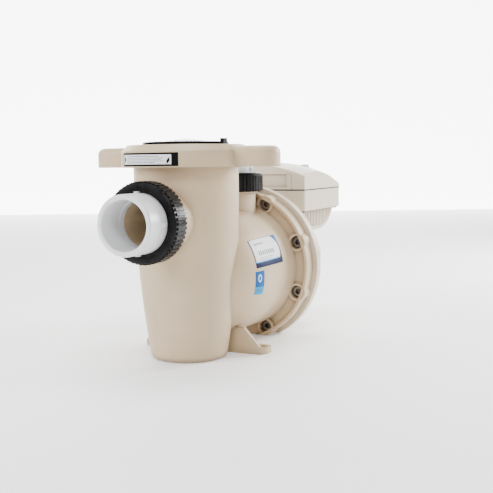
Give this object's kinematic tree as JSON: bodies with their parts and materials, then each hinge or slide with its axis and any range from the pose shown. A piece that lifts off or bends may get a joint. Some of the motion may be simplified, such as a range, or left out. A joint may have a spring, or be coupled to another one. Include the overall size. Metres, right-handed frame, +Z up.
{
  "type": "pool pump",
  "caption": "Self-priming pool pump with a moulded strainer pot and volute, clear lid, union sockets, bolted seal plate, fan-cooled motor and a variable-speed drive.",
  "frame": {"origin": "centre of the strainer pot's flat base, on the floor", "axes": "+X along the motor shaft towards the motor, +Z up and out of the discharge, suction leaves along -X"},
  "size_m": [0.5504, 0.262, 0.2866],
  "materials": {
    "housing_plastic": "moulded almond glass-filled plastic, semi-matt",
    "black_plastic": "black moulded plastic, satin",
    "drive_plastic": "moulded light almond plastic, fine texture",
    "white_pvc": "white pressure pipe plastic, smooth",
    "clear_plastic": "clear polycarbonate",
    "basket_plastic": "pale polypropylene",
    "seal_rubber": "black nitrile rubber",
    "bolt_steel": "stainless steel, lightly brushed",
    "shaft_steel": "ground stainless steel",
    "bearing_steel": "polished bearing steel",
    "core_steel": "stacked electrical steel",
    "rotor_steel": "stacked steel with cast end rings",
    "copper_wire": "enamelled copper wire, laced",
    "wet_end_plastic": "dark glass-filled noryl",
    "seal_ceramic": "lapped white ceramic",
    "seal_carbon": "pressed carbon",
    "plate_plastic": "moulded almond glass-filled plastic",
    "motor_paint": "light almond powder coat",
    "bracket_aluminium": "die cast, painted over on the rim",
    "sink_aluminium": "extruded, clear anodised",
    "board_laminate": "green solder-masked laminate",
    "capacitor_sleeve": "printed-free shrink sleeve",
    "keypad_film": "dark overlay film",
    "display_window": "tinted display window",
    "button_rubber": "grey silicone",
    "pad_rubber": "black rubber pad",
    "pin_steel": "drawn stainless wire"
  },
  "bodies": {
    "pump_body": {"pump_housing": "housing_plastic", "seal_plate": "plate_plastic", "housing_o_ring": "seal_rubber", "flange_bolts": "bolt_steel", "bolt_washers": "bolt_steel", "diffuser": "wet_end_plastic", "suction_tailpiece": "white_pvc", "discharge_tailpiece": "white_pvc", "suction_o_ring": "seal_rubber", "discharge_o_ring": "seal_rubber", "seal_seat": "seal_ceramic", "bearing_outer_races": "bearing_steel", "stator_core": "core_steel", "stator_windings": "copper_wire", "motor_frame": "motor_paint", "motor_front_bracket": "bracket_aluminium", "motor_rear_bracket": "bracket_aluminium", "motor_tie_bolts": "bolt_steel", "fan_cover": "drive_plastic", "motor_support": "black_plastic", "support_pad": "pad_rubber", "drive_saddle": "drive_plastic", "drive_base": "drive_plastic", "drive_gasket": "seal_rubber", "drive_cover": "drive_plastic", "drive_screws": "bolt_steel", "heat_sink": "sink_aluminium", "circuit_board": "board_laminate", "capacitor_bank": "capacitor_sleeve", "conduit_bushing": "black_plastic", "keypad_panel": "keypad_film", "display_window": "display_window", "keypad_hinge_pin": "pin_steel"},
    "lid_assembly": {"lid": "clear_plastic", "lid_o_ring": "seal_rubber"},
    "lock_ring_assembly": {"lock_ring": "black_plastic"},
    "basket": {"strainer_basket": "basket_plastic"},
    "suction_nut": {"suction_union_nut": "black_plastic"},
    "discharge_nut": {"discharge_union_nut": "black_plastic"},
    "pot_plug": {"pot_drain_plug": "black_plastic", "pot_drain_o_ring": "seal_rubber"},
    "volute_plug": {"volute_drain_plug": "black_plastic", "volute_drain_o_ring": "seal_rubber"},
    "rotating_group": {"motor_shaft": "shaft_steel", "rotor": "rotor_steel", "bearing_inner_races": "bearing_steel", "bearing_balls": "bearing_steel", "impeller": "wet_end_plastic", "impeller_screw": "bolt_steel", "seal_head": "seal_carbon", "slinger": "seal_rubber", "cooling_fan": "black_plastic"},
    "keypad_flap": {"keypad_cover": "drive_plastic"},
    "speed_1": {"button_speed_1": "button_rubber"},
    "speed_2": {"button_speed_2": "button_rubber"},
    "speed_3": {"button_speed_3": "button_rubber"},
    "speed_4": {"button_speed_4": "button_rubber"},
    "start_stop": {"button_start_stop": "button_rubber"}
  },
  "joints": [
    {"name": "lid_lift", "type": "slide", "parent": "pump_body", "child": "lid_assembly", "axis": [0, 0, 1], "range_m": [0, 0.34]},
    {"name": "lock_ring_turn", "type": "hinge", "parent": "lid_assembly", "child": "lock_ring_assembly", "pos_m": [0, 0, 0.279], "axis": [0, 0, 1], "range_deg": [0, 60]},
    {"name": "basket_lift", "type": "slide", "parent": "pump_body", "child": "basket", "axis": [0, 0, 1], "range_m": [0, 0.204]},
    {"name": "suction_nut_turn", "type": "hinge", "parent": "pump_body", "child": "suction_nut", "pos_m": [-0.105, 0, 0.184], "axis": [-1, 0, 0], "continuous": true},
    {"name": "discharge_nut_turn", "type": "hinge", "parent": "pump_body", "child": "discharge_nut", "pos_m": [0.125, 0, 0.23], "axis": [0, 0, 1], "continuous": true},
    {"name": "pot_drain_turn", "type": "hinge", "parent": "pump_body", "child": "pot_plug", "pos_m": [0.021, 0.059, 0.028], "axis": [0, 1, 0], "continuous": true},
    {"name": "volute_drain_turn", "type": "hinge", "parent": "pump_body", "child": "volute_plug", "pos_m": [0.118, 0.088, 0.044], "axis": [0, 1, 0], "continuous": true},
    {"name": "shaft_spin", "type": "hinge", "parent": "pump_body", "child": "rotating_group", "pos_m": [0, 0, 0.104], "axis": [1, 0, 0], "continuous": true},
    {"name": "keypad_flap_hinge", "type": "hinge", "parent": "pump_body", "child": "keypad_flap", "pos_m": [0.3418, 0, 0.247], "axis": [0, 1, 0], "range_deg": [0, 100]},
    {"name": "speed_1_press", "type": "slide", "parent": "pump_body", "child": "speed_1", "axis": [0, 0, -1], "range_m": [0, 0.0008], "stiffness_N_per_m": 600},
    {"name": "speed_2_press", "type": "slide", "parent": "pump_body", "child": "speed_2", "axis": [0, 0, -1], "range_m": [0, 0.0008], "stiffness_N_per_m": 600},
    {"name": "speed_3_press", "type": "slide", "parent": "pump_body", "child": "speed_3", "axis": [0, 0, -1], "range_m": [0, 0.0008], "stiffness_N_per_m": 600},
    {"name": "speed_4_press", "type": "slide", "parent": "pump_body", "child": "speed_4", "axis": [0, 0, -1], "range_m": [0, 0.0008], "stiffness_N_per_m": 600},
    {"name": "start_stop_press", "type": "slide", "parent": "pump_body", "child": "start_stop", "axis": [0, 0, -1], "range_m": [0, 0.0008], "stiffness_N_per_m": 600}
  ],
  "couplings": [
    {"joint": "basket_lift", "follows": "lid_lift", "ratio": 0.6}
  ]
}
